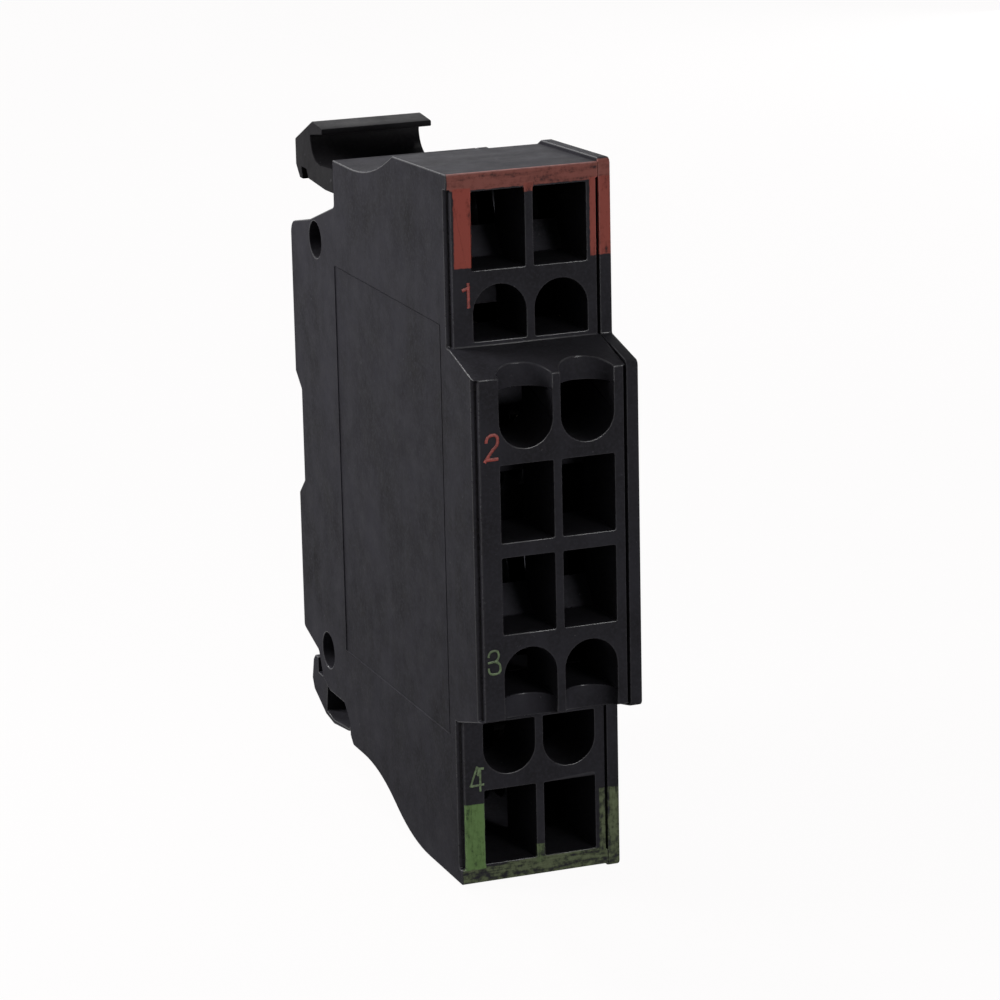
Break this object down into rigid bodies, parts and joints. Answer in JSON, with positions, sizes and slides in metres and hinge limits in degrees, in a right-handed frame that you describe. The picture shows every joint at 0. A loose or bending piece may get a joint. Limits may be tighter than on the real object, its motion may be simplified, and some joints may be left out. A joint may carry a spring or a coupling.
{
  "type": "clip-on contact block",
  "caption": "Slim moulded contact block with paired spring-clamp wire openings on a stepped front, a sprung latch hook, a fixed foot hook and a push plunger working two contact bridges.",
  "frame": {"origin": "centre of the plunger's push face, in the plane of the back flange that rests on the carrier", "axes": "+Y from the terminal face to the mounting plane, +Z from the foot hook up to the latch hook, +X across the block"},
  "size_m": [0.01, 0.0343, 0.0425],
  "materials": {
    "case": "fine moulded texture",
    "lever": "smooth moulded",
    "carrier": "plain",
    "rail": "tin plated",
    "clamp": "spring strip",
    "wire_spring": "drawn wire",
    "bridge": "rolled strip",
    "tip": "silver alloy"
  },
  "bodies": {
    "case": {"housing": "case", "side_cover": "case", "terminal_rail_1": "rail", "terminal_rail_2": "rail", "terminal_rail_3": "rail", "terminal_rail_4": "rail", "contact_tip_1": "tip", "contact_tip_2": "tip", "contact_tip_3": "tip", "contact_tip_4": "tip", "clamp_spring_1_left": "clamp", "clamp_spring_1_right": "clamp", "clamp_spring_2_left": "clamp", "clamp_spring_2_right": "clamp", "clamp_spring_3_left": "clamp", "clamp_spring_3_right": "clamp", "clamp_spring_4_left": "clamp", "clamp_spring_4_right": "clamp", "return_spring": "wire_spring"},
    "latch": {"latch_lever": "lever"},
    "carrier": {"plunger": "carrier", "break_pressure_spring": "wire_spring", "make_pressure_spring": "wire_spring"},
    "break_contact": {"break_bridge": "bridge", "break_bridge_tips": "tip"},
    "make_contact": {"make_bridge": "bridge", "make_bridge_tips": "tip"}
  },
  "joints": [
    {"name": "latch_hinge", "type": "hinge", "parent": "case", "child": "latch", "pos_m": [0, -0.0099, 0.01672], "axis": [1, 0, 0], "range_deg": [0, 10], "stiffness_Nm_per_rad": 0.08},
    {"name": "plunger_slide", "type": "slide", "parent": "case", "child": "carrier", "axis": [0, -1, 0], "range_m": [0, 0.004], "stiffness_N_per_m": 500, "deforming": ["return_spring"]},
    {"name": "break_bridge_slide", "type": "slide", "parent": "carrier", "child": "break_contact", "axis": [0, 1, 0], "range_m": [0, 0.0008], "deforming": ["break_pressure_spring"]},
    {"name": "make_bridge_slide", "type": "slide", "parent": "carrier", "child": "make_contact", "axis": [0, 1, 0], "range_m": [0, 0.0008], "deforming": ["make_pressure_spring"]}
  ],
  "couplings": [
    {"joint": "break_bridge_slide", "follows": "plunger_slide", "ratio": 0.2},
    {"joint": "make_bridge_slide", "follows": "plunger_slide", "ratio": 0.2}
  ]
}
